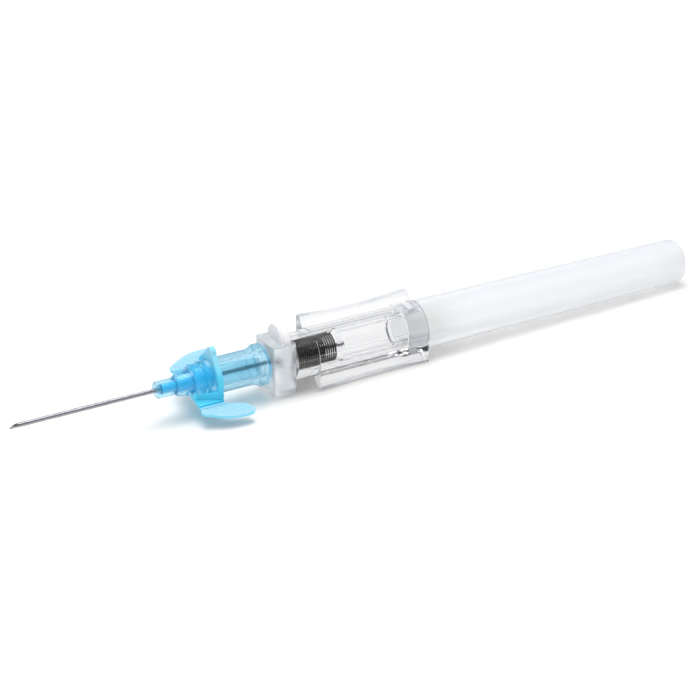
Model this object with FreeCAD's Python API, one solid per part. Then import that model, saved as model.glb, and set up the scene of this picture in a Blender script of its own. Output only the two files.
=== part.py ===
import FreeCAD, Part
import math
import os

# Winged peripheral vein cannula with a push-button needle retraction, ready for use.
# Millimetres. The needle axis is the X axis and the needle points to -X. The origin is
# the middle of the catheter hub's luer mouth. +Z is up, and the button is on top.

V = FreeCAD.Vector
AXIS = V(1, 0, 0)
ORIGIN = V(0, 0, 0)

# Needle and catheter tube
needle_od = 0.72
needle_bore = 0.41
bevel_length = 1.5
needle_into_chamber = 1.2
tube_od = 0.90
tube_held_od = 0.88
tube_bore = 0.77
tube_exposed = 24.9
tube_tip_taper = 1.6
tube_tip_od = 0.84
tube_flare_od = 1.50
tube_flare_length = 1.0
needle_funnel_gap = 0.08

# Catheter hub
hub_length = 20.4
nose_radius = 1.50
nose_length = 3.6
step_front_radius = 1.90
step_rear_radius = 2.35
step_length = 3.0
rib_count = 2
rib_pitch = 1.60
rib_width = 1.10
rib_radius = 3.17
rib_groove_depth = 0.45
first_rib_drop = 0.20
hub_body_radius = 3.15
flange_radius = 3.72
flange_length = 1.5
flange_flare = 1.3
socket_radius = 2.11
socket_depth = 8.6
luer_taper = 0.03
hub_edge = 0.22

# Insert in the hub's nose, and the metal eyelet that holds the tube
core_nose_radius = 0.83
core_step_radius = 1.30
core_body_radius = 1.80
core_nose_wall = 1.0
core_funnel_mouth = 1.35
core_funnel_length = 1.7
eyelet_wall = 0.12
eyelet_rim = 1.0
eyelet_length = 1.3
eyelet_from_step = 0.4
eyelet_over_bore = 0.06

# Wing collar
hub_roll = 15.0
ring_outer_radius = 3.95
ring_width = 0.95
ring_from_ribs = 0.65
fin_height = 5.85
fin_top_half_width = 0.95
fin_foot_half_width = 3.0
fin_turn = -8.0
saddle_front_half_width = 2.6
saddle_rear_half_width = 4.3
saddle_top = -0.5
wing_top = -1.8
wing_thickness = 0.55
hinge_width = 0.45
hinge_thickness = 0.30
hinge_at = 4.75
ridge_at = 5.30
ridge_height = 0.20
wing_root_lead = 3.65
wing_lead = 3.95
wing_trail = 4.15
wing_span = 9.0
corner_inset = 0.1
front_corner = 0.9
tip_slant = 2.1
outer_bow = 0.45
rear_corner = 1.2
rear_corner_bow = 0.25
rear_shoulder = 0.8
rear_bow = 0.44
rear_waist = 1.8
rear_foot_inset = 1.08
rear_foot_drop = 2.7

# Latch block and button
hub_gap = 0.5
block_length = 4.4
block_half_width = 3.4
block_bottom = -5.07
block_top = 3.9
block_edge = 0.45
button_thickness = 2.0
button_half_width = 2.8
button_top = 7.15
button_wall_front = 1.85
button_foot = 3.2
button_travel = 1.3
button_edge = 0.45
keyhole_wide_radius = 1.9

# Barrel, grip plates and tail tube
spigot_length = 5.0
barrel_nose_length = 4.15
barrel_nose_radius = 4.12
barrel_radius = 4.30
barrel_bore_radius = 3.05
barrel_front_wall = 0.5
grip_length = 21.9
plate_outer = 4.32
plate_edge_thickness = 1.2
plate_root_thickness = 1.9
web_thickness = 0.9
web_reach = 2.2
plate_end_height = 5.4
plate_waist_height = 4.9
plate_end_flat = 1.2
plate_ledge = 1.0
plate_root_height = 3.3
collar_length = 3.8
collar_radius = 4.58
collar_wall = 0.68
collar_ramp = 0.5
tail_exposed = 56.85
tail_front_radius = 4.52
tail_rear_radius = 4.10
tail_wall = 0.92
tail_bow = 0.02
tail_end_length = 0.9
tail_end_shoulder = 0.2
tail_end_step = 0.4
snap_length = 1.5
snap_width = 3.0
snap_height = 0.4
snap_root = 0.5

# Needle carriage, spring and vent plug
head_radius = 1.45
head_length = 0.55
head_edge = 0.3
neck_ramp = 0.6
neck_radius = 1.05
carriage_core_radius = 1.85
carriage_flange_radius = 2.98
carriage_flange_length = 1.3
chamber_past_grip = 6.05
chamber_radius = 2.75
chamber_wall = 0.6
plug_depth = 2.4
plug_rim_radius = 2.98
plug_rim_length = 0.9
spring_outer_radius = 2.70
spring_wire = 0.40
coil_groove = 0.13
spring_ridges = 4
spring_length = 8.3

# Clearances
running = 0.05
seat = 0.02
needle_running = 0.04

# Places along the axis, worked out from the sizes above
nose_x = -hub_length
step_x = nose_x + nose_length
rib_start_x = step_x + step_length
ring_front_x = rib_start_x + (rib_count - 1) * rib_pitch + rib_width + ring_from_ribs
ring_rear_x = ring_front_x + ring_width
wing_root_x = ring_front_x - wing_root_lead
wing_front_x = ring_front_x - wing_lead
wing_rear_x = ring_rear_x + wing_trail
tube_tip_x = nose_x - tube_exposed
needle_tip_x = tube_tip_x - bevel_length
block_front_x = hub_gap
block_rear_x = block_front_x + block_length
grip_front_x = block_rear_x + barrel_nose_length
grip_rear_x = grip_front_x + grip_length
collar_front_x = grip_rear_x - collar_length
tail_end_x = grip_rear_x + tail_exposed
button_front_x = block_front_x + button_wall_front + running
button_rear_x = button_front_x + button_thickness
spring_front_x = button_rear_x + running + barrel_front_wall
flange_front_x = spring_front_x + spring_length
flange_rear_x = flange_front_x + carriage_flange_length
chamber_rear_x = grip_rear_x + chamber_past_grip
head_front_x = button_front_x - running - head_length
core_rear_x = -socket_depth
eyelet_front_x = step_x + eyelet_from_step


def revolved(points):
    """Solid of revolution about the X axis from (x, radius) points."""
    wire = Part.makePolygon([V(x, 0, r) for x, r in points] + [V(points[0][0], 0, points[0][1])])
    return Part.Face(wire).revolve(ORIGIN, AXIS, 360)


def rod(x0, x1, radius):
    return Part.makeCylinder(radius, x1 - x0, V(x0, 0, 0), AXIS)


def cone(x0, x1, r0, r1):
    return Part.makeCone(r0, r1, x1 - x0, V(x0, 0, 0), AXIS)


def block(x0, x1, y0, y1, z0, z1):
    return Part.makeBox(x1 - x0, y1 - y0, z1 - z0, V(x0, y0, z0))


def joined(first, *others):
    return first.fuse(list(others)).removeSplitter()


def save(name, shape):
    shape.exportStep("parts/%s.step" % name)


def needle_cannula():
    """Thin steel tube with its bevel facing up."""
    end_x = flange_rear_x + needle_into_chamber
    radius = needle_od / 2
    tube = rod(needle_tip_x, end_x, radius).cut(rod(needle_tip_x, end_x, needle_bore / 2))
    above = Part.makePolygon([V(x, -needle_od, z) for x, z in (
        (needle_tip_x, -radius), (needle_tip_x + bevel_length, radius),
        (needle_tip_x + bevel_length, needle_od), (needle_tip_x, needle_od), (needle_tip_x, -radius))])
    return tube.cut(Part.Face(above).extrude(V(0, needle_od + needle_od, 0)))


def catheter_tube():
    """Soft tube with a tapered tip, flared over the eyelet inside the hub."""
    flare_x = eyelet_front_x
    end_x = flare_x + tube_flare_length
    wall = (tube_od - tube_bore) / 2
    return revolved([
        (tube_tip_x, tube_bore / 2),
        (tube_tip_x, tube_tip_od / 2),
        (tube_tip_x + tube_tip_taper, tube_od / 2),
        (nose_x, tube_od / 2),
        (nose_x, tube_held_od / 2),
        (flare_x, tube_held_od / 2),
        (end_x, tube_flare_od / 2),
        (end_x, tube_flare_od / 2 - wall),
        (flare_x, tube_bore / 2),
    ])


def tube_eyelet():
    """Metal funnel that wedges the tube's flare in the insert."""
    wall = (tube_od - tube_bore) / 2
    end_x = eyelet_front_x + tube_flare_length
    rear_x = eyelet_front_x + eyelet_length
    front_radius = tube_bore / 2 + eyelet_over_bore
    slope = (tube_flare_od / 2 - wall - tube_bore / 2) / tube_flare_length
    front_x = eyelet_front_x + (front_radius + eyelet_wall + seat - tube_bore / 2) / slope
    end_radius = tube_flare_od / 2 - wall - seat
    return revolved([
        (front_x, front_radius),
        (front_x, front_radius + eyelet_wall),
        (end_x, end_radius),
        (end_x + seat, end_radius),
        (end_x + seat, eyelet_rim),
        (rear_x, eyelet_rim),
        (rear_x, end_radius - eyelet_wall),
        (end_x, end_radius - eyelet_wall),
    ])


def hub_core():
    """Stepped insert that fills the hub's nose and guides the needle into the tube."""
    flare_end_x = eyelet_front_x + tube_flare_length
    rim_rear_x = eyelet_front_x + eyelet_length + seat
    solid = joined(
        rod(nose_x + core_nose_wall, step_x, core_nose_radius),
        rod(step_x, rib_start_x, core_step_radius),
        rod(rib_start_x, core_rear_x, core_body_radius),
    )
    passage = joined(
        rod(nose_x, eyelet_front_x, tube_held_od / 2 + seat),
        cone(eyelet_front_x, flare_end_x, tube_held_od / 2 + seat, tube_flare_od / 2 + seat),
        rod(flare_end_x, rim_rear_x, eyelet_rim + seat),
        rod(rim_rear_x, core_rear_x, needle_od / 2 + needle_funnel_gap),
    )
    funnel = cone(core_rear_x - core_funnel_length, core_rear_x,
                  needle_od / 2 + needle_funnel_gap, core_funnel_mouth)
    return solid.cut(passage).cut(funnel)


def hub_outline():
    """Outer profile of the hub from its nose to its mouth."""
    points = [
        (nose_x, nose_radius - hub_edge),
        (nose_x + hub_edge, nose_radius),
        (step_x, nose_radius),
        (step_x, step_front_radius - hub_edge),
        (step_x + hub_edge, step_front_radius),
        (rib_start_x, step_rear_radius),
    ]
    groove = rib_radius - rib_groove_depth
    for i in range(rib_count):
        x = rib_start_x + i * rib_pitch
        top = rib_radius - (first_rib_drop if i == 0 else 0)
        points += [(x, groove), (x + hub_edge, top), (x + rib_width - hub_edge, top), (x + rib_width, groove)]
    points += [
        (ring_front_x, hub_body_radius),
        (-flange_length - flange_flare, hub_body_radius),
        (-flange_length, flange_radius - hub_edge),
        (-flange_length + hub_edge, flange_radius),
        (-hub_edge, flange_radius),
        (0, flange_radius - hub_edge),
    ]
    return points


def hub_body(grown=0):
    """Solid outside shape of the hub, or the room that it needs when grown."""
    points = [(x, radius + grown) for x, radius in hub_outline()]
    return revolved(points + [(0, 0), (nose_x, 0)])


def catheter_hub():
    """Clear blue hub: stepped nose, ribbed middle and luer socket."""
    outside = hub_body()
    inside = joined(
        rod(nose_x - 1, nose_x + core_nose_wall, tube_held_od / 2 + seat),
        rod(nose_x + core_nose_wall, step_x, core_nose_radius + seat),
        rod(step_x, rib_start_x, core_step_radius + seat),
        rod(rib_start_x, core_rear_x, core_body_radius + seat),
        cone(-socket_depth, 0, socket_radius - luer_taper * socket_depth, socket_radius),
    )
    return outside.cut(inside)


def wing_blank():
    """One flat wing on the +Y side, seen in plan, with rounded corners."""
    root = hub_body_radius / 2
    root_end = ridge_at - corner_inset
    front_root, rear_root = V(wing_root_x, root, 0), V(ring_rear_x, root, 0)
    front_neck, rear_neck = V(wing_root_x, root_end, 0), V(ring_rear_x, root_end, 0)
    front_edge = V(wing_front_x, ridge_at + front_corner, 0)
    front_tip = V(wing_front_x + front_corner, wing_span - tip_slant, 0)
    outer_mid = V((wing_front_x + wing_rear_x) / 2 - outer_bow, wing_span - outer_bow, 0)
    rear_tip = V(wing_rear_x - rear_corner, wing_span, 0)
    rear_round = V(wing_rear_x - rear_corner_bow, wing_span - outer_bow, 0)
    rear_edge = V(wing_rear_x, wing_span - rear_shoulder, 0)
    rear_middle = V(wing_rear_x - rear_bow, wing_span - rear_waist, 0)
    rear_foot = V(wing_rear_x - rear_foot_inset, wing_span - rear_foot_drop, 0)
    edges = [
        Part.LineSegment(front_root, front_neck),
        Part.Arc(front_neck, front_edge, front_tip),
        Part.Arc(front_tip, outer_mid, rear_tip),
        Part.Arc(rear_tip, rear_round, rear_edge),
        Part.Arc(rear_edge, rear_middle, rear_foot),
        Part.LineSegment(rear_foot, rear_neck),
        Part.LineSegment(rear_neck, rear_root),
        Part.LineSegment(rear_root, front_root),
    ]
    face = Part.Face(Part.Wire([edge.toShape() for edge in edges]))
    face.translate(V(0, 0, wing_top - wing_thickness))
    plate = face.extrude(V(0, 0, wing_thickness))
    thinned = block(wing_front_x - 1, wing_rear_x + 1, hinge_at - hinge_width / 2, hinge_at + hinge_width / 2,
                    wing_top - wing_thickness + hinge_thickness, wing_top + 1)
    ridge = Part.makeCylinder(ridge_height, ring_rear_x - wing_root_x,
                              V(wing_root_x, ridge_at, wing_top), AXIS)
    return joined(plate.cut(thinned), ridge)


def push_fin():
    """Ring round the hub with the upright fin that a fingertip pushes."""
    ring = rod(ring_front_x, ring_rear_x, ring_outer_radius)
    shoulder = math.sqrt(ring_outer_radius ** 2 - fin_foot_half_width ** 2)
    crown_z = fin_height - fin_top_half_width
    outline = Part.Wire([
        Part.LineSegment(V(ring_front_x, -fin_foot_half_width, shoulder),
                         V(ring_front_x, -fin_top_half_width, crown_z)).toShape(),
        Part.Arc(V(ring_front_x, -fin_top_half_width, crown_z), V(ring_front_x, 0, fin_height),
                 V(ring_front_x, fin_top_half_width, crown_z)).toShape(),
        Part.LineSegment(V(ring_front_x, fin_top_half_width, crown_z),
                         V(ring_front_x, fin_foot_half_width, shoulder)).toShape(),
        Part.LineSegment(V(ring_front_x, fin_foot_half_width, shoulder),
                         V(ring_front_x, -fin_foot_half_width, shoulder)).toShape(),
    ])
    fin = Part.Face(outline).extrude(V(ring_width, 0, 0))
    fin.rotate(ORIGIN, AXIS, fin_turn)
    return joined(ring, fin)


def saddle():
    """Tapered base under the hub that carries both wings."""
    plan = Part.makePolygon([V(x, y, wing_top - wing_thickness) for x, y in (
        (wing_root_x, -saddle_front_half_width), (ring_rear_x, -saddle_rear_half_width),
        (ring_rear_x, saddle_rear_half_width), (wing_root_x, saddle_front_half_width),
        (wing_root_x, -saddle_front_half_width))])
    return Part.Face(plan).extrude(V(0, 0, saddle_top - wing_top + wing_thickness))


def wing_collar():
    """Ring, fin, saddle and two wings moulded as one soft piece, turned on the hub."""
    wing = wing_blank()
    collar = joined(saddle(), wing, wing.mirror(ORIGIN, V(0, 1, 0)), push_fin())
    collar = collar.cut(hub_body(seat))
    collar.rotate(ORIGIN, AXIS, hub_roll)
    return collar


def grip_plate():
    """Upright plate on the +Y side of the grip, with its waisted free edge on top."""
    inner_edge = plate_outer - plate_edge_thickness
    inner_root = plate_outer - plate_root_thickness
    section = Part.makePolygon([V(grip_front_x, y, z) for y, z in (
        (plate_outer, -plate_ledge), (plate_outer, plate_end_height), (inner_edge, plate_end_height),
        (inner_root, plate_root_height), (inner_root, -plate_ledge), (plate_outer, -plate_ledge))])
    plate = Part.Face(section).extrude(V(grip_length, 0, 0))
    start = V(grip_front_x + plate_end_flat, 0, plate_end_height)
    finish = V(grip_rear_x - plate_end_flat, 0, plate_end_height)
    middle = V((grip_front_x + grip_rear_x) / 2, 0, plate_waist_height)
    scoop = Part.Face(Part.Wire([Part.Arc(start, middle, finish).toShape(),
                                 Part.LineSegment(finish, start).toShape()]))
    return plate.cut(scoop.extrude(V(0, 2 * plate_outer, 0)))


def end_web(x0, body_radius):
    """Thin wall that ties one end of the plate to the top of the barrel."""
    foot_z = math.sqrt(body_radius ** 2 - web_reach ** 2)
    outer = plate_outer - plate_edge_thickness / 2
    section = Part.makePolygon([V(x0, y, z) for y, z in (
        (outer, plate_end_height), (plate_outer - plate_edge_thickness, plate_end_height),
        (web_reach, foot_z), (web_reach, foot_z / 2), (outer, foot_z / 2), (outer, plate_end_height))])
    return Part.Face(section).extrude(V(web_thickness, 0, 0))


def turned_over(shape):
    """Copy of the shape half a turn round the needle axis."""
    copy = shape.copy()
    copy.rotate(ORIGIN, AXIS, 180)
    return copy


def spigot_radius_at(x):
    return socket_radius + luer_taper * x - running


def grip_barrel():
    """Clear barrel with luer spigot, latch block, grip plates and rear collar in one moulding."""
    spigot_tip = -spigot_length + block_front_x
    latch = block(block_front_x, block_rear_x, -block_half_width, block_half_width, block_bottom, block_top)
    upright = [e for e in latch.Edges if e.BoundBox.ZLength > 1]
    latch = latch.makeFillet(block_edge, upright)
    barrel = revolved([
        (spigot_tip, 0),
        (spigot_tip, spigot_radius_at(spigot_tip) - hub_edge),
        (spigot_tip + hub_edge, spigot_radius_at(spigot_tip + hub_edge)),
        (block_front_x, spigot_radius_at(block_front_x)),
        (block_rear_x, spigot_radius_at(block_front_x)),
        (block_rear_x, barrel_nose_radius),
        (grip_front_x, barrel_nose_radius),
        (grip_front_x, barrel_radius),
        (collar_front_x - collar_ramp, barrel_radius),
        (collar_front_x, collar_radius),
        (grip_rear_x - hub_edge, collar_radius),
        (grip_rear_x, collar_radius - hub_edge),
        (grip_rear_x, 0),
    ])
    grip = joined(grip_plate(), end_web(grip_front_x, barrel_radius),
                  end_web(grip_rear_x - web_thickness, collar_radius))
    outside = joined(barrel, latch, grip, turned_over(grip))
    bore = joined(
        rod(spigot_tip - 1, spring_front_x, needle_od / 2 + needle_running),
        rod(head_front_x - running, spring_front_x, head_radius + running),
        rod(spring_front_x, collar_front_x, barrel_bore_radius),
        rod(collar_front_x, grip_rear_x + 1, collar_radius - collar_wall),
    )
    slot = block(button_front_x - running, button_rear_x + running,
                 -button_half_width - running, button_half_width + running,
                 -button_foot - button_travel - running, block_top + 1)
    windows = [snap_tab(side, running, collar_radius + 1) for side in (1, -1)]
    return outside.cut(bore).cut(slot).cut(windows)


def snap_tab(side, extra, high):
    """Block above or below the tail tube's plug, up to this height and grown by extra."""
    middle_x = (collar_front_x + grip_rear_x) / 2
    low = collar_radius - collar_wall - snap_root
    solid = block(middle_x - snap_length / 2 - extra, middle_x + snap_length / 2 + extra,
                  -snap_width / 2 - extra, snap_width / 2 + extra, low, high)
    return solid if side > 0 else solid.mirror(ORIGIN, V(0, 0, 1))


def tail_tube():
    """Long closed tube that takes the carriage after retraction."""
    plug_radius = collar_radius - collar_wall - seat
    plug_x = collar_front_x + seat
    front_x = grip_rear_x + seat
    round_x = tail_end_x - tail_end_length
    outline = Part.makePolygon([V(x, 0, r) for x, r in (
        (round_x, tail_rear_radius),
        (tail_end_x - tail_end_step, tail_rear_radius - tail_end_shoulder),
        (tail_end_x, tail_rear_radius - tail_end_length),
        (tail_end_x, 0),
        (plug_x, 0),
        (plug_x, plug_radius - hub_edge),
        (plug_x + hub_edge, plug_radius),
        (front_x, plug_radius),
        (front_x, tail_front_radius),
    )])
    draft = Part.BezierCurve()
    draft.setPoles([
        V(front_x, 0, tail_front_radius),
        V((front_x + round_x) / 2, 0, (tail_front_radius + tail_rear_radius) / 2 + tail_bow),
        V(round_x, 0, tail_rear_radius),
    ])
    profile = Part.Face(Part.Wire(outline.Edges + [draft.toShape()]))
    outside = profile.revolve(ORIGIN, AXIS, 360)
    tabs = [snap_tab(side, 0, collar_radius - collar_wall + snap_height) for side in (1, -1)]
    return joined(outside, *tabs).cut(rod(plug_x - 1, tail_end_x - tail_wall, tail_rear_radius - tail_wall))


def needle_carriage():
    """Needle holder with latch groove, spring seat and flash chamber."""
    neck_front_x = head_front_x + head_length
    neck_rear_x = button_rear_x + running
    outside = revolved([
        (head_front_x, 0),
        (head_front_x, head_radius - head_edge),
        (head_front_x + head_edge, head_radius),
        (neck_front_x, head_radius),
        (neck_front_x, neck_radius),
        (neck_rear_x, neck_radius),
        (neck_rear_x, head_radius),
        (spring_front_x + running, head_radius),
        (spring_front_x + neck_ramp, carriage_core_radius),
        (flange_front_x, carriage_core_radius),
        (flange_front_x, carriage_flange_radius),
        (flange_rear_x, carriage_flange_radius),
        (flange_rear_x, chamber_radius),
        (chamber_rear_x, chamber_radius),
        (chamber_rear_x, 0),
    ])
    inside = joined(
        rod(head_front_x - 1, flange_rear_x, needle_od / 2 + seat),
        rod(flange_rear_x, chamber_rear_x + 1, chamber_radius - chamber_wall),
    )
    return outside.cut(inside)


def vent_plug():
    """Porous plug that closes the flash chamber and lets its air out."""
    return joined(
        rod(chamber_rear_x - plug_depth, chamber_rear_x + seat, chamber_radius - chamber_wall - seat),
        rod(chamber_rear_x + seat, chamber_rear_x + seat + plug_rim_length, plug_rim_radius),
    )


def release_button():
    """Latch plate with its keyhole, and the round thumb tab on top of it."""
    centre_z = button_top - button_half_width
    outline = Part.Wire([
        Part.LineSegment(V(button_front_x, -button_half_width, -button_foot),
                         V(button_front_x, -button_half_width, centre_z)).toShape(),
        Part.Arc(V(button_front_x, -button_half_width, centre_z), V(button_front_x, 0, button_top),
                 V(button_front_x, button_half_width, centre_z)).toShape(),
        Part.LineSegment(V(button_front_x, button_half_width, centre_z),
                         V(button_front_x, button_half_width, -button_foot)).toShape(),
        Part.LineSegment(V(button_front_x, button_half_width, -button_foot),
                         V(button_front_x, -button_half_width, -button_foot)).toShape(),
    ])
    plate = Part.Face(outline).extrude(V(button_thickness, 0, 0))
    crown = [e for e in plate.Edges if isinstance(e.Curve, Part.Circle)]
    plate = plate.makeChamfer(button_edge, crown)
    narrow = rod(button_front_x - 1, button_rear_x + 1, head_radius + running)
    wide = Part.makeCylinder(keyhole_wide_radius, button_thickness + 2,
                             V(button_front_x - 1, 0, button_travel), AXIS)
    between = block(button_front_x - 1, button_rear_x + 1, -head_radius - running, head_radius + running,
                    0, button_travel)
    return plate.cut([narrow, wide, between])


def retraction_spring():
    """Compression spring with its turns pressed together behind the barrel's front wall."""
    front_x = spring_front_x + seat
    rear_x = flange_front_x - seat
    pitch = (rear_x - front_x) / spring_ridges
    inner_radius = spring_outer_radius - spring_wire
    points = [(front_x, inner_radius)]
    for ridge in range(spring_ridges):
        x = front_x + ridge * pitch
        points += [(x, spring_outer_radius - coil_groove), (x + pitch / 2, spring_outer_radius)]
    points += [(rear_x, spring_outer_radius - coil_groove), (rear_x, inner_radius)]
    return revolved(points)


PIECES = (
    needle_cannula, catheter_tube, tube_eyelet, hub_core, catheter_hub, wing_collar,
    grip_barrel, tail_tube, needle_carriage, vent_plug, release_button, retraction_spring,
)

os.makedirs("parts", exist_ok=True)
for make in PIECES:
    save(make.__name__, make())
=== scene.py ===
import math
import bpy
from mathutils import Matrix, Vector


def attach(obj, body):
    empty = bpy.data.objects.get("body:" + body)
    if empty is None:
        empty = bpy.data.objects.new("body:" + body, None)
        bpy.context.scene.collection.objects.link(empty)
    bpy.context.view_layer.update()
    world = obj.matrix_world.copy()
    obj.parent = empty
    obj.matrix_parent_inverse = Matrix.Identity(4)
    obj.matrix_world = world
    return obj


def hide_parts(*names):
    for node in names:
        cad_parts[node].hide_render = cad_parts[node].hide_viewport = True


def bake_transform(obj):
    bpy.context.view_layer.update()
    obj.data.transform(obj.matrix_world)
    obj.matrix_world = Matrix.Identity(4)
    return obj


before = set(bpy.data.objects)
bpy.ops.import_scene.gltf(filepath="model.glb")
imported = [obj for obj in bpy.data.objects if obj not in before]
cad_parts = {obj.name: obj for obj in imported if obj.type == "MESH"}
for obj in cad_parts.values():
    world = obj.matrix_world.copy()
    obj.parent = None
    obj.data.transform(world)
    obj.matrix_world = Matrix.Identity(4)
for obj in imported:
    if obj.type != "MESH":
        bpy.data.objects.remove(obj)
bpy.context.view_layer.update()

# Winged vein cannula, ready for use, on a white table. Metres, in the shared frame:
# the needle axis is X, the needle points to -X, and the button is on top.

MM = 0.001

# Camera, fitted to the photograph
AZIMUTH = math.radians(-30.3)
ELEVATION = math.radians(25.7)
CAMERA_DISTANCE = 436 * MM
CAMERA_LENS = 128.57
CAMERA_SENSOR = 36.0
AIM_X = 17.4 * MM
AIM_DROP = 1.48 * MM

# Retraction spring; the last number scales its round wire along X
SPRING_FRONT = 4.97 * MM
SPRING_REAR = 13.23 * MM
SPRING_OUTER_RADIUS = 2.70 * MM
SPRING_WIRE = 0.40 * MM
SPRING_TURNS = 18.5
SPRING_FLATTENED = 0.72

# Turn of the hub and wing collar about the needle axis
HUB_ROLL = math.radians(15)

# Outlines of the round pieces, as (place along X, radius) in millimetres
TAIL_OUTLINE = (
    (27.17, 3.18), (27.17, 3.66), (27.39, 3.88), (30.97, 3.88), (30.97, 4.52), (45, 4.42), (59, 4.325),
    (73, 4.22), (86.4, 4.12), (86.9, 4.09), (87.2, 4.00), (87.45, 3.84), (87.65, 3.58), (87.77, 3.30),
    (87.8, 3.0), (87.8, 0), (86.88, 0), (86.88, 3.18))
HUB_OUTLINE = (
    (-20.4, 0.46), (-20.4, 1.28), (-20.18, 1.5), (-16.8, 1.5), (-16.8, 1.68), (-16.58, 1.9), (-13.8, 2.35),
    (-13.8, 2.72), (-13.58, 2.97), (-12.92, 2.97), (-12.7, 2.72), (-12.2, 2.72), (-11.98, 3.17),
    (-11.32, 3.17), (-11.1, 2.72), (-10.45, 3.15), (-2.8, 3.15), (-1.5, 3.5), (-1.28, 3.72), (-0.22, 3.72),
    (0, 3.5), (0, 2.11), (-8.6, 1.852), (-8.6, 1.82), (-13.8, 1.82), (-13.8, 1.32), (-16.8, 1.32),
    (-16.8, 0.85), (-19.4, 0.85), (-19.4, 0.46))

# Raised bars on the wings: the height of the flat wing's top face, and in it the middle and size of
# their field. They stand between two lines, foot inside and edge outside (place at X = 0, and slope).
WING_TOP = -1.8 * MM
TEXTURE_MIDDLE = (-9.9 * MM, 7.2 * MM)
TEXTURE_LENGTH = 7.0 * MM
TEXTURE_WIDTH = 2.5 * MM
TEXTURE_EDGE = (9.55 * MM, 0.17)
TEXTURE_FOOT = (9.8 * MM, 0.45)

# Upper tab on the tail's plug, in millimetres along X, Y and Z; the lower one mirrors it
TAB_ZONE = ((28.3, 29.8), (-1.5, 1.5), (3.4, 4.28))
LATHE_SIDES = 160

# Radii between which a face near the barrel's side is a flat grip plate
PLATE_ZONE = (4.31 * MM, 4.39 * MM)

# Latch block along X; the spigot is in front of it
BLOCK_FRONT = 0.45 * MM
BLOCK_REAR = 4.95 * MM

# Grip plates, whose long edges and front faces get painted light: all of them is behind the first place,
# their front faces are before the second, their long edges are higher or lower than the third, and their
# sides further out than the fourth
PLATES_BEHIND = 8 * MM
PLATE_FRONT_BEFORE = 10.5 * MM
PLATE_EDGE_HEIGHT = 4.7 * MM
PLATE_INSIDE = 2.8 * MM

# Tail: further from the axis than this is its outside
TAIL_OUTSIDE = 3.9 * MM

# Hub: its wall grows thick in front of the first place over the length that follows, the ribs lie
# between the next two, and its outside is further from the axis than the last
NOSE_THICK = -11.0 * MM
NOSE_FADE = 3 * MM
RIBS_FRONT = -13.9 * MM
RIBS_REAR = -10.3 * MM
HUB_OUTSIDE = 2.3 * MM

# Wing collar: how far out the wings begin, how high the fin does, and over what lengths they fade in
WING_ROOT = 4.6 * MM
WING_FADE = 0.7 * MM
FIN_ROOT = 2.2 * MM
FIN_FADE = 2 * MM

# Dark wall of the room, seen in reflections only, and which way it lies
DARK_WALL = (0.05, 0.05, 0.055)
DARK_WALL_TOWARDS = (0.455, -0.840, 0.296)

# Soft lamp over the object
LAMP_PLACE = (-0.02, 0.03, 0.72)
LAMP_AIM = (0.02, 0, 0)
LAMP_SIZE = (0.62, 0.50)
LAMP_POWER = 4.6

# Table: touched by the near grip plate's rear corner and by the tail's end
TABLE_X = 30 * MM
TABLE_Z = -5.43 * MM
TABLE_SLOPE = 0.0228
TABLE_HALF_WIDTH = 3.0


class Value:
    """A shader number that takes part in Python's own arithmetic."""

    def __init__(self, finish, socket):
        self.finish, self.socket = finish, socket

    def _math(self, operation, first, second):
        node = self.finish.add("ShaderNodeMath", {"operation": operation}, {0: first, 1: second})
        return self.finish.out(node)

    def __add__(self, other):
        return self._math("ADD", self, other)

    def __radd__(self, other):
        return self._math("ADD", other, self)

    def __sub__(self, other):
        return self._math("SUBTRACT", self, other)

    def __rsub__(self, other):
        return self._math("SUBTRACT", other, self)

    def __mul__(self, other):
        return self._math("MULTIPLY", self, other)

    def __rmul__(self, other):
        return self._math("MULTIPLY", other, self)

    def __truediv__(self, other):
        return self._math("DIVIDE", self, other)

    def __pow__(self, other):
        return self._math("POWER", self, other)

    def __gt__(self, other):
        return self._math("GREATER_THAN", self, other)

    def __lt__(self, other):
        return self._math("LESS_THAN", self, other)

    def __abs__(self):
        return self._math("ABSOLUTE", self, 0.0)

    def sign(self):
        return self._math("SIGN", self, 0.0)

    def clamped(self):
        node = self.finish.add("ShaderNodeClamp", {}, {"Value": self})
        return self.finish.out(node)


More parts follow.
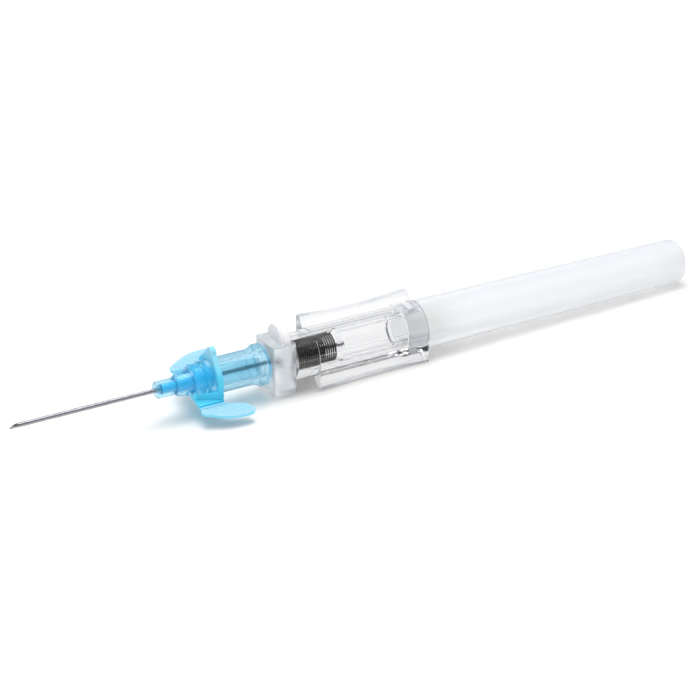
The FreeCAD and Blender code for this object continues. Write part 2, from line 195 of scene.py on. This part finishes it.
class Finish:
    """One procedural material, or the world, built node by node."""

    def __init__(self, owner):
        owner.use_nodes = True
        self.owner = owner
        self.tree = owner.node_tree
        self.shader = self.tree.nodes.get("Principled BSDF")

    def add(self, kind, settings=None, sockets=None):
        node = self.tree.nodes.new(kind)
        for name, setting in (settings or {}).items():
            if name == "stops":
                self._set_stops(node.color_ramp, setting)
            else:
                setattr(node, name, setting)
        for name, value in (sockets or {}).items():
            self.plug(node.inputs[name], value)
        return node

    def _set_stops(self, ramp, stops):
        while len(ramp.elements) < len(stops):
            ramp.elements.new(0.5)
        for element, (position, colour) in zip(ramp.elements, stops):
            element.position = position
            element.color = (*colour, 1)

    def plug(self, socket, value):
        if isinstance(value, Value):
            self.tree.links.new(value.socket, socket)
        elif isinstance(value, bpy.types.NodeSocket):
            self.tree.links.new(value, socket)
        else:
            socket.default_value = value

    def out(self, node, output=0):
        return Value(self, node.outputs[output])

    def set(self, **sockets):
        """Values or links for the main shader, by socket name with _ for a space."""
        for name, value in sockets.items():
            self.plug(self.shader.inputs[name.replace("_", " ")], value)

    def layer(self, **sockets):
        """Another shader to mix in, by socket name with _ for a space."""
        return self.add("ShaderNodeBsdfPrincipled", {}, {
            name.replace("_", " "): value for name, value in sockets.items()})

    def mix_in(self, other, amount):
        """Covers the finish so far with another shader by this amount."""
        surface = self.tree.nodes["Material Output"].inputs["Surface"]
        before = surface.links[0].from_socket
        mixed = self.add("ShaderNodeMixShader", {}, {0: amount, 1: before, 2: other.outputs[0]})
        self.tree.links.new(mixed.outputs[0], surface)

    def place(self):
        """The point on the piece, in metres in the shared frame."""
        return self.out(self.add("ShaderNodeTexCoord"), "Object")

    def from_axis(self):
        """Distance from the needle axis."""
        return self.vector("LENGTH", self.vector("MULTIPLY", self.place(), (0, 1, 1)), output="Value")

    def coordinates(self):
        split = self.add("ShaderNodeSeparateXYZ", {}, {0: self.place()})
        return self.out(split, 0), self.out(split, 1), self.out(split, 2)

    def noise(self, per_metre, detail=2.0, stretch=(1, 1, 1)):
        scaled = self.add("ShaderNodeVectorMath", {"operation": "MULTIPLY"}, {0: self.place(), 1: stretch})
        node = self.add("ShaderNodeTexNoise", {}, {
            "Vector": self.out(scaled), "Scale": per_metre, "Detail": detail})
        return self.out(node)

    def vector(self, operation, first, second=(0, 0, 0), output="Vector"):
        node = self.add("ShaderNodeVectorMath", {"operation": operation}, {0: first, 1: second})
        return self.out(node, output)

    def scaled(self, vector, amount):
        node = self.add("ShaderNodeVectorMath", {"operation": "SCALE"}, {0: vector, "Scale": amount})
        return self.out(node)

    def rim(self, power):
        """Weight that rises towards the silhouette of a glossy or clear surface; it lays painted shade along
        silhouettes.
        """
        return self.out(self.add("ShaderNodeLayerWeight", {}, {"Blend": 0.5}), "Facing") ** power

    def facing(self, direction):
        """How squarely a face lies across this direction, either way round."""
        return abs(self.vector("DOT_PRODUCT", self.normal(), direction, "Value"))

    def normal(self):
        return self.out(self.add("ShaderNodeNewGeometry"), "Normal")

    def round_normal(self):
        """Normal of the true round surface about the needle axis, where a facet lies close to it."""
        normal = self.normal()
        across = self.vector("MULTIPLY", self.place(), (0, 1, 1))
        radius = self.vector("LENGTH", across, output="Value")
        outward = self.vector("NORMALIZE", across)
        lean = self.vector("MULTIPLY", normal, (0, 1, 1))
        size = self.vector("LENGTH", lean, output="Value")
        turn = self.vector("DOT_PRODUCT", outward, lean, "Value") / (size + 0.000001)
        true = self.vector("ADD", self.vector("MULTIPLY", normal, (1, 0, 0)),
                           self.scaled(outward, size * turn.sign()))
        on_plate = (radius > PLATE_ZONE[0]) * (radius < PLATE_ZONE[1])
        chosen = (abs(turn) > 0.98) * (1 - on_plate)
        node = self.add("ShaderNodeMix", {"data_type": "VECTOR"}, {0: chosen, 4: normal, 5: true})
        return self.out(node, 1)

    def bump(self, height, distance, rounded=False):
        node = self.add("ShaderNodeBump", {}, {"Height": height, "Distance": distance})
        if rounded:
            self.plug(node.inputs["Normal"], self.round_normal())
        self.set(Normal=self.out(node))

    def blend_colour(self, amount, first, second):
        ends = [end if isinstance(end, Value) else (*end, 1) for end in (first, second)]
        node = self.add("ShaderNodeMix", {"data_type": "RGBA"}, {0: amount, 6: ends[0], 7: ends[1]})
        return self.out(node, 2)


def material(name):
    return Finish(bpy.data.materials.new(name))


def clear_plastic(name, tint, refraction, roughness, waviness):
    """Polished clear moulding with very slight flow waves."""
    finish = material(name)
    finish.set(Base_Color=(*tint, 1), IOR=refraction, Transmission_Weight=0.97)
    cloud = finish.noise(420, 2.0, (0.35, 1, 1))
    finish.set(Roughness=roughness + 0.02 * cloud)
    finish.bump(cloud, waviness, rounded=True)
    return finish


def barrel_plastic():
    """Clear barrel, with a cloudy latch block that glows faintly as painted light, plate edges and fronts
    lightened by painted light with a faint glow, painted grey shade along its silhouettes and more along the
    spigot's, and a spigot that hardly bends light.
    """
    finish = clear_plastic("clear_barrel_plastic", (0.972, 0.977, 0.985), 1.30, 0.03, 0.012 * MM)
    finish.set(Transmission_Weight=1.0)
    x, y, z = finish.coordinates()
    spigot = finish.layer(Base_Color=(0.95, 0.97, 0.98, 1), IOR=1.06, Transmission_Weight=1.0,
                          Roughness=0.04, Normal=finish.round_normal())
    # Frosted latch block: cloudy plastic, with a faint glow that is painted light
    cloudy = finish.layer(Base_Color=(0.90, 0.94, 0.97, 1), IOR=1.2, Transmission_Weight=0.5, Roughness=0.28,
                          Coat_Weight=0.8, Coat_Roughness=0.08, Emission_Color=(0.85, 0.92, 0.97, 1),
                          Emission_Strength=0.08)
    grey = finish.layer(Base_Color=(0.58, 0.61, 0.66, 1), Roughness=0.2)
    # Painted light: pale colour with a faint glow for the plates' long edge faces and front faces
    pale = finish.layer(Base_Color=(0.80, 0.82, 0.86, 1), Roughness=0.15,
                        Emission_Color=(0.85, 0.88, 0.92, 1), Emission_Strength=0.10)
    behind = x > PLATES_BEHIND
    plate_edge_painted_light = (abs(z) > PLATE_EDGE_HEIGHT) * behind * finish.facing((0, 0, 1))
    plate_front_painted_light = behind * (x < PLATE_FRONT_BEFORE) * (abs(y) > PLATE_INSIDE) * finish.facing((1, 0, 0))
    in_spigot = x < BLOCK_FRONT
    # Painted shade: grey laid towards the barrel's silhouettes
    finish.mix_in(grey, 0.4 * finish.rim(4.0))
    finish.mix_in(pale, 0.55 * (plate_edge_painted_light + plate_front_painted_light).clamped())
    finish.mix_in(cloudy, 0.36 * (x > BLOCK_FRONT) * (x < BLOCK_REAR))
    finish.mix_in(spigot, in_spigot)
    # Painted shade: more grey towards the spigot's silhouettes
    finish.mix_in(grey, 0.25 * finish.rim(2.5) * in_spigot)
    return finish


def tail_plastic():
    """Clear tail, milky outside with a faint glow that is painted light, and painted grey shade, itself
    glowing faintly, along the silhouettes of wall and bore.
    """
    finish = clear_plastic("clear_tail_plastic", (0.975, 0.98, 0.983), 1.10, 0.05, 0.002 * MM)
    finish.set(Coat_Weight=0.6, Coat_Roughness=0.06)
    outside = finish.from_axis() > TAIL_OUTSIDE
    # Cloudy plastic outside, plus a faint glow that is painted light
    milky = finish.layer(Base_Color=(0.97, 0.97, 0.972, 1), Roughness=0.25,
                         Emission_Color=(0.95, 0.95, 0.955, 1), Emission_Strength=0.14)
    # Painted shade: glowing grey towards the silhouettes of wall and bore
    grey = finish.layer(Base_Color=(0.52, 0.56, 0.62, 1), Roughness=0.2,
                        Emission_Color=(0.80, 0.84, 0.90, 1), Emission_Strength=0.15)
    finish.mix_in(milky, 0.30 * outside)
    finish.mix_in(grey, finish.rim(1.5) * (1 - outside) + 0.85 * finish.rim(2.4) * outside)
    return finish


def clear_blue_plastic():
    """Blue tinted clear hub, cloudier at its thick nose and most at the ribs, with the cloudy blue glowing
    faintly as painted light, and painted darker blue shade along its silhouettes.
    """
    finish = material("clear_blue_plastic")
    x, _, _ = finish.coordinates()
    thick = ((NOSE_THICK - x) / NOSE_FADE).clamped()
    finish.set(Base_Color=finish.blend_colour(thick, (0.57, 0.82, 0.92), (0.66, 0.92, 0.99)),
               IOR=1.14, Transmission_Weight=0.96, Coat_Weight=0.8, Coat_Roughness=0.04)
    finish.set(Roughness=0.04 + 0.06 * thick)
    finish.bump(finish.noise(500), 0.01 * MM)
    # Cloudy blue, plus a faint glow that is painted light
    milky = finish.layer(Base_Color=(0.04, 0.58, 0.90, 1), IOR=1.3, Transmission_Weight=0.25, Roughness=0.25,
                         Coat_Weight=0.8, Coat_Roughness=0.05, Emission_Color=(0.05, 0.62, 0.95, 1),
                         Emission_Strength=0.14)
    # Painted shade: darker blue towards the silhouettes of the body's outside and of all in front of the body
    edge = finish.layer(Base_Color=(0.15, 0.50, 0.71, 1), Roughness=0.15, Transmission_Weight=0.2, IOR=1.3)
    outside = finish.from_axis() > HUB_OUTSIDE
    before_body = x < RIBS_REAR
    body_silhouette_shade = 0.75 * finish.rim(1.6) * outside * (x > RIBS_REAR)
    finish.mix_in(milky, 0.08 + 0.10 * thick + 0.42 * (x > RIBS_FRONT) * before_body)
    finish.mix_in(edge, body_silhouette_shade + 0.5 * finish.rim(3.0) * before_body)
    return finish


def deep_blue_plastic():
    """Strong blue of the stepped insert, glowing faintly in its own colour as painted light."""
    finish = material("deep_blue_plastic")
    cloud = finish.noise(600)
    colour = finish.blend_colour(cloud, (0.012, 0.53, 0.86), (0.03, 0.60, 0.90))
    # Painted light: a faint glow in the insert's own colour
    finish.set(Base_Color=colour, IOR=1.35, Transmission_Weight=0.15,
               Emission_Color=colour, Emission_Strength=0.12)
    finish.set(Roughness=0.22 + 0.08 * cloud)
    finish.bump(cloud, 0.02 * MM, rounded=True)
    return finish


def milky_blue_plastic():
    """Soft cloudy blue of the wing collar: pale wings with deeper rims and saddle; on the wings the paleness
    follows the face direction, as painted light and shade, and the collar glows faintly as painted light.
    """
    finish = material("milky_blue_plastic")
    _, y, z = finish.coordinates()
    beside = abs(y * math.cos(HUB_ROLL) + z * math.sin(HUB_ROLL))
    above = z * math.cos(HUB_ROLL) - y * math.sin(HUB_ROLL)
    wing = ((beside - WING_ROOT) / WING_FADE).clamped()
    fin = ((above - FIN_ROOT) / FIN_FADE).clamped()
    # Painted light and shade by face direction: faces lying flat in the wings get the pale colour, the wings'
    # edge faces the deeper one
    flat = finish.facing((0, -math.sin(HUB_ROLL), math.cos(HUB_ROLL)))
    cloud = finish.noise(260, 3.0)
    pale = (wing * flat ** 2 + 0.45 * fin) * (0.8 + 0.3 * cloud)
    rim = finish.blend_colour((wing + fin).clamped(), (0.11, 0.68, 0.93), (0.25, 0.77, 0.97))
    colour = finish.blend_colour(pale.clamped(), rim, (0.36, 0.64, 0.82))
    # Painted light: a faint glow in the collar's own colour
    finish.set(Base_Color=colour, IOR=1.35, Transmission_Weight=0.05,
               Emission_Color=colour, Emission_Strength=0.06)
    finish.set(Roughness=0.32 + 0.10 * cloud)
    finish.bump(finish.noise(2600), 0.03 * MM)
    return finish


def frosted_plastic():
    """Frosted white button, with a faint glow that is painted light."""
    finish = material("frosted_plastic")
    grain = finish.noise(3500)
    # Painted light: a faint white glow
    finish.set(Base_Color=(0.95, 0.95, 0.96, 1), IOR=1.4, Transmission_Weight=0.10,
               Emission_Color=(0.95, 0.95, 0.97, 1), Emission_Strength=0.05)
    finish.set(Roughness=0.38 + 0.10 * grain)
    finish.bump(grain, 0.03 * MM)
    return finish


def tube_plastic():
    """Thin soft tube, translucent, with painted grey shade along its silhouette."""
    finish = material("tube_plastic")
    streaks = finish.noise(900, 2.0, (0.2, 1, 1))
    finish.set(Base_Color=(0.96, 0.965, 0.98, 1), IOR=1.04, Transmission_Weight=0.97, Coat_Weight=0.5)
    finish.set(Roughness=0.06 + 0.06 * streaks)
    finish.bump(streaks, 0.004 * MM, rounded=True)
    grey = finish.layer(Base_Color=(0.42, 0.42, 0.47, 1), Roughness=0.3)
    pale = finish.layer(Base_Color=(0.74, 0.75, 0.79, 1), Roughness=0.3, Transmission_Weight=0.2, IOR=1.2)
    finish.mix_in(pale, 0.02 + 0.05 * streaks)
    # Painted shade: grey towards the silhouette
    finish.mix_in(grey, 0.42 * finish.rim(3.0))
    return finish


def needle_steel():
    """Drawn stainless tube, with fine lines along it."""
    finish = material("needle_steel")
    lines = finish.noise(9000, 3.0, (0.02, 1, 1))
    finish.set(Base_Color=finish.blend_colour(lines, (0.28, 0.28, 0.31), (0.40, 0.40, 0.42)),
               Metallic=1.0)
    finish.set(Roughness=0.10 + 0.08 * lines)
    finish.bump(lines, 0.002 * MM, rounded=True)
    return finish


def spring_steel():
    """Dark drawn spring wire."""
    finish = material("spring_steel")
    stain = finish.noise(700, 3.0)
    finish.set(Base_Color=finish.blend_colour(stain, (0.028, 0.026, 0.025), (0.065, 0.058, 0.053)),
               Metallic=1.0, Coat_Weight=0.4, Coat_Roughness=0.05)
    finish.set(Roughness=0.10 + 0.08 * stain)
    return finish


def porous_plug():
    """White sintered plug with open pores."""
    finish = material("porous_plug")
    pores = finish.noise(5200, 4.0)
    finish.set(Base_Color=finish.blend_colour(pores, (0.95, 0.96, 0.97), (0.99, 0.99, 0.99)),
               Transmission_Weight=0.96, IOR=1.03)
    finish.set(Roughness=0.6 + 0.15 * pores)
    finish.bump(pores, 0.03 * MM)
    return finish


def geometry_group(name, inputs):
    """Empty geometry node group with named inputs, its node maker and its two ends."""
    group = bpy.data.node_groups.new(name, "GeometryNodeTree")
    for label, kind, value in inputs:
        socket = group.interface.new_socket(label, in_out="INPUT", socket_type=kind)
        if value is not None:
            socket.default_value = value
    group.interface.new_socket("Geometry", in_out="OUTPUT", socket_type="NodeSocketGeometry")
    start = group.nodes.new("NodeGroupInput")
    end = group.nodes.new("NodeGroupOutput")

    def add(kind, sockets, settings=None):
        node = group.nodes.new(kind)
        for key, setting in (settings or {}).items():
            setattr(node, key, setting)
        for key, value in sockets.items():
            if isinstance(value, bpy.types.NodeSocket):
                group.links.new(value, node.inputs[key])
            else:
                node.inputs[key].default_value = value
        return node

    return group, add, start.outputs, end.inputs


def grown(name, group, values, look):
    """Mesh object made by a geometry node group, with the result kept as plain mesh."""
    carrier = bpy.data.objects.new(name + "_maker", bpy.data.meshes.new(name + "_maker"))
    bpy.context.scene.collection.objects.link(carrier)
    modifier = carrier.modifiers.new("maker", "NODES")
    modifier.node_group = group
    for item in group.interface.items_tree:
        if item.in_out == "INPUT" and item.name in values:
            modifier[item.identifier] = values[item.name]
    bpy.context.view_layer.update()
    evaluated = carrier.evaluated_get(bpy.context.evaluated_depsgraph_get())
    mesh = bpy.data.meshes.new_from_object(evaluated)
    mesh.name = name
    carrier.modifiers.remove(modifier)
    bpy.data.objects.remove(carrier)
    piece = bpy.data.objects.new(name, mesh)
    bpy.context.scene.collection.objects.link(piece)
    piece.data.materials.clear()
    piece.data.materials.append(look)
    return piece


def closed_ring(points, sides):
    """Vertices and faces of a closed outline turned about the needle axis."""
    vertices, rings = [], []
    for x, radius in points:
        if radius == 0:
            rings.append([len(vertices)] * sides)
            vertices.append((x * MM, 0, 0))
            continue
        rings.append(range(len(vertices), len(vertices) + sides))
        vertices += [(x * MM, radius * MM * math.cos(turn), radius * MM * math.sin(turn))
                     for turn in (2 * math.pi * i / sides for i in range(sides))]
    faces = []
    for here, there in zip(rings, rings[1:] + rings[:1]):
        for i in range(sides):
            j = (i + 1) % sides
            corners = list(dict.fromkeys((here[i], here[j], there[j], there[i])))
            if len(corners) > 2:
                faces.append(corners)
    return vertices, faces


def box_shell(xs, ys, zs):
    """Vertices and outward faces of a small block, in metres from millimetres."""
    vertices = [(x * MM, y * MM, z * MM) for x in xs for y in ys for z in zs]
    faces = [(0, 1, 3, 2), (4, 6, 7, 5), (0, 4, 5, 1), (2, 3, 7, 6), (0, 2, 6, 4), (1, 5, 7, 3)]
    return vertices, faces


def turned_piece(name, node, body, shells, look):
    """Smooth version of a round CAD piece, made of these closed shells."""
    vertices, faces = [], []
    for shell_vertices, shell_faces in shells:
        start = len(vertices)
        vertices += shell_vertices
        faces += [[start + corner for corner in face] for face in shell_faces]
    mesh = bpy.data.meshes.new(name)
    mesh.from_pydata(vertices, [], faces)
    mesh.polygons.foreach_set("use_smooth", [True] * len(mesh.polygons))
    mesh.set_sharp_from_angle(angle=math.radians(25))
    mesh.materials.append(look)
    piece = bpy.data.objects.new(name, mesh)
    bpy.context.scene.collection.objects.link(piece)
    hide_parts(node)
    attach(piece, body)


def spring_coil(look):
    """Closely wound wire about the needle axis, narrowed along it because it widens when drawn out."""
    group, add, given, result = geometry_group("spring_coil", (
        ("Turns", "NodeSocketFloat", SPRING_TURNS),
        ("Coil radius", "NodeSocketFloat", SPRING_OUTER_RADIUS - SPRING_WIRE / 2),
        ("Length", "NodeSocketFloat", (SPRING_REAR - SPRING_FRONT - SPRING_WIRE) / SPRING_FLATTENED),
        ("Wire radius", "NodeSocketFloat", SPRING_WIRE / 2),
        ("Material", "NodeSocketMaterial", None),
    ))
    spiral = add("GeometryNodeCurveSpiral", {
        "Resolution": 40, "Rotations": given["Turns"], "Start Radius": given["Coil radius"],
        "End Radius": given["Coil radius"], "Height": given["Length"]})
    wire = add("GeometryNodeCurvePrimitiveCircle", {"Resolution": 12, "Radius": given["Wire radius"]})
    swept = add("GeometryNodeCurveToMesh", {
        "Curve": spiral.outputs[0], "Profile Curve": wire.outputs[0], "Fill Caps": True})
    laid = add("GeometryNodeTransform", {
        "Geometry": swept.outputs[0], "Rotation": (0, math.pi / 2, 0), "Scale": (1, 1, SPRING_FLATTENED),
        "Translation": (SPRING_FRONT + SPRING_WIRE / 2, 0, 0)})
    smooth = add("GeometryNodeSetShadeSmooth", {"Geometry": laid.outputs[0]})
    finished = add("GeometryNodeSetMaterial", {"Geometry": smooth.outputs[0], "Material": given["Material"]})
    group.links.new(finished.outputs[0], result[0])
    coil = grown("retraction_spring_coil", group, {"Material": look}, look)
    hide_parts("retraction_spring")
    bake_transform(coil)


def wing_texture(name, side, look):
    """Rows of small raised bars moulded on the top of one wing."""
    group, add, given, result = geometry_group("wing_texture_" + name, (
        ("Side", "NodeSocketFloat", 1.0),
        ("Columns", "NodeSocketInt", 12),
        ("Rows", "NodeSocketInt", 4),
        ("Bar size", "NodeSocketVector", (0.17 * MM, 0.32 * MM, 0.10 * MM)),
        ("Material", "NodeSocketMaterial", None),
    ))
    grid = add("GeometryNodeMeshGrid", {
        "Size X": TEXTURE_LENGTH, "Size Y": TEXTURE_WIDTH,
        "Vertices X": given["Columns"], "Vertices Y": given["Rows"]})
    away = add("ShaderNodeMath", {0: given["Side"], 1: TEXTURE_MIDDLE[1]}, {"operation": "MULTIPLY"})
    middle = add("ShaderNodeCombineXYZ", {0: TEXTURE_MIDDLE[0], 1: away.outputs[0], 2: WING_TOP})
    placed = add("GeometryNodeTransform", {
        "Geometry": grid.outputs["Mesh"], "Translation": middle.outputs[0]})
    where = add("ShaderNodeSeparateXYZ", {0: add("GeometryNodeInputPosition", {}).outputs[0]})
    out = add("ShaderNodeMath", {0: where.outputs[1], 1: given["Side"]}, {"operation": "MULTIPLY"})
    edge = add("ShaderNodeMath", {0: where.outputs[0], 1: TEXTURE_EDGE[1], 2: TEXTURE_EDGE[0]},
               {"operation": "MULTIPLY_ADD"})
    beyond = add("ShaderNodeMath", {0: out.outputs[0], 1: edge.outputs[0]}, {"operation": "GREATER_THAN"})
    foot = add("ShaderNodeMath", {0: where.outputs[0], 1: TEXTURE_FOOT[1], 2: TEXTURE_FOOT[0]},
               {"operation": "MULTIPLY_ADD"})
    short = add("ShaderNodeMath", {0: out.outputs[0], 1: foot.outputs[0]}, {"operation": "LESS_THAN"})
    either = add("ShaderNodeMath", {0: beyond.outputs[0], 1: short.outputs[0]}, {"operation": "MAXIMUM"})
    kept = add("GeometryNodeDeleteGeometry", {"Geometry": placed.outputs[0], "Selection": either.outputs[0]})
    bar = add("GeometryNodeMeshUVSphere", {"Segments": 12, "Rings": 8, "Radius": 1.0})
    bars = add("GeometryNodeInstanceOnPoints", {
        "Points": kept.outputs[0], "Instance": bar.outputs["Mesh"], "Scale": given["Bar size"]})
    real = add("GeometryNodeRealizeInstances", {"Geometry": bars.outputs[0]})
    rolled = add("GeometryNodeTransform", {"Geometry": real.outputs[0], "Rotation": (HUB_ROLL, 0, 0)})
    smooth = add("GeometryNodeSetShadeSmooth", {"Geometry": rolled.outputs[0]})
    finished = add("GeometryNodeSetMaterial", {"Geometry": smooth.outputs[0], "Material": given["Material"]})
    group.links.new(finished.outputs[0], result[0])
    bumps = grown("wing_texture_" + name, group, {"Side": side, "Material": look}, look)
    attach(bumps, "catheter")


def paint_pieces():
    """Gives every CAD piece that stays in sight its finish, and returns the wing collar's."""
    steel = needle_steel()
    soft_blue = milky_blue_plastic()
    looks = {
        "needle_cannula": steel,
        "catheter_tube": tube_plastic(),
        "tube_eyelet": steel,
        "hub_core": deep_blue_plastic(),
        "wing_collar": soft_blue,
        "grip_barrel": barrel_plastic(),
        "needle_carriage": clear_plastic("clear_chamber_plastic", (0.99, 0.99, 0.99), 1.08, 0.05, 0.008 * MM),
        "vent_plug": porous_plug(),
        "release_button": frosted_plastic(),
    }
    for node, look in looks.items():
        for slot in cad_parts[node].material_slots:
            slot.material = look.owner
    return soft_blue.owner


def table():
    """White table that keeps the object's soft shadow."""
    mesh = bpy.data.meshes.new("table")
    corners = [(x * TABLE_HALF_WIDTH, y * TABLE_HALF_WIDTH,
                TABLE_Z + TABLE_SLOPE * (x * TABLE_HALF_WIDTH - TABLE_X))
               for x, y in ((-1, -1), (1, -1), (1, 1), (-1, 1))]
    mesh.from_pydata(corners, [], [(0, 1, 2, 3)])
    finish = material("table_white")
    tree = finish.tree
    rays = finish.add("ShaderNodeLightPath")
    seen = 0.04 * finish.out(rays, "Is Camera Ray") + 0.72 * finish.out(rays, "Is Transmission Ray")
    matt = finish.add("ShaderNodeBsdfDiffuse", {}, {"Color": (0.955, 0.942, 0.925, 1)})
    white = finish.add("ShaderNodeEmission", {}, {"Color": (1, 1, 1, 1), "Strength": 1.0})
    mixed = finish.add("ShaderNodeMixShader", {}, {0: seen})
    tree.links.new(matt.outputs[0], mixed.inputs[1])
    tree.links.new(white.outputs[0], mixed.inputs[2])
    tree.links.new(mixed.outputs[0], tree.nodes["Material Output"].inputs["Surface"])
    tree.nodes.remove(finish.shader)
    mesh.materials.append(finish.owner)
    floor = bpy.data.objects.new("table", mesh)
    bpy.context.scene.collection.objects.link(floor)


def room_light():
    """Bright ceiling, grey walls, a dark wall for reflections, and one soft lamp overhead."""
    world = bpy.data.worlds.new("room")
    bpy.context.scene.world = world
    finish = Finish(world)
    direction = finish.out(finish.add("ShaderNodeTexCoord"), "Generated")
    split = finish.add("ShaderNodeSeparateXYZ", {}, {0: direction})
    height = finish.add("ShaderNodeValToRGB", {"stops": [
        (0.0, (0.62, 0.63, 0.65)), (0.12, (0.58, 0.59, 0.61)), (0.35, (0.96, 0.97, 0.98)),
        (0.7, (1.0, 1.0, 1.0))]}, {0: finish.out(split, 2)})
    towards = finish.vector("DOT_PRODUCT", direction, DARK_WALL_TOWARDS, "Value")
    rays = finish.add("ShaderNodeLightPath")
    mirrored = finish.out(rays, "Glossy Depth").clamped()
    wall = finish.blend_colour(((towards - 0.76) / 0.12).clamped() * mirrored, (1, 1, 1), DARK_WALL)
    seen = (finish.out(rays, "Is Camera Ray") + finish.out(rays, "Is Transmission Ray")).clamped()
    backdrop = finish.tree.nodes["Background"]
    finish.plug(backdrop.inputs["Color"], finish.vector("MULTIPLY", finish.out(height), wall))
    finish.plug(backdrop.inputs["Strength"], 0.56 + 0.44 * seen)

    lamp = bpy.data.lights.new("softbox", "AREA")
    lamp.shape = "RECTANGLE"
    lamp.size, lamp.size_y = LAMP_SIZE
    lamp.energy = LAMP_POWER
    softbox = bpy.data.objects.new("softbox", lamp)
    softbox.location = LAMP_PLACE
    softbox.rotation_euler = (Vector(LAMP_AIM) - softbox.location).to_track_quat("-Z", "Y").to_euler()
    bpy.context.scene.collection.objects.link(softbox)


def camera_axes():
    """Directions from the object to the camera, to its right and up."""
    back = Vector((math.sin(AZIMUTH) * math.cos(ELEVATION), -math.cos(AZIMUTH) * math.cos(ELEVATION),
                   math.sin(ELEVATION)))
    right = Vector((math.cos(AZIMUTH), math.sin(AZIMUTH), 0))
    return back, right, back.cross(right)


def camera():
    """Camera that sees the object as the photograph does."""
    back, right, up = camera_axes()
    target = Vector((AIM_X, 0, 0)) - AIM_DROP * up
    data = bpy.data.cameras.new("camera")
    data.lens = CAMERA_LENS
    data.sensor_width = CAMERA_SENSOR
    data.clip_start = 0.01
    eye = bpy.data.objects.new("camera", data)
    turn = Matrix((right, up, back)).transposed().to_4x4()
    eye.matrix_world = Matrix.Translation(target + back * CAMERA_DISTANCE) @ turn
    bpy.context.scene.collection.objects.link(eye)
    bpy.context.scene.camera = eye


soft_blue_look = paint_pieces()
wing_texture("far", 1.0, soft_blue_look)
wing_texture("near", -1.0, soft_blue_look)
lower_tab = TAB_ZONE[:2] + (tuple(-z for z in reversed(TAB_ZONE[2])),)
turned_piece("tail_tube_smooth", "tail_tube", "barrel",
             (closed_ring(TAIL_OUTLINE, LATHE_SIDES), box_shell(*TAB_ZONE), box_shell(*lower_tab)),
             tail_plastic().owner)
turned_piece("catheter_hub_smooth", "catheter_hub", "catheter",
             (closed_ring(HUB_OUTLINE, LATHE_SIDES),),
             clear_blue_plastic().owner)
spring_coil(spring_steel().owner)
table()
room_light()
camera()
bpy.context.scene.view_settings.view_transform = "Standard"
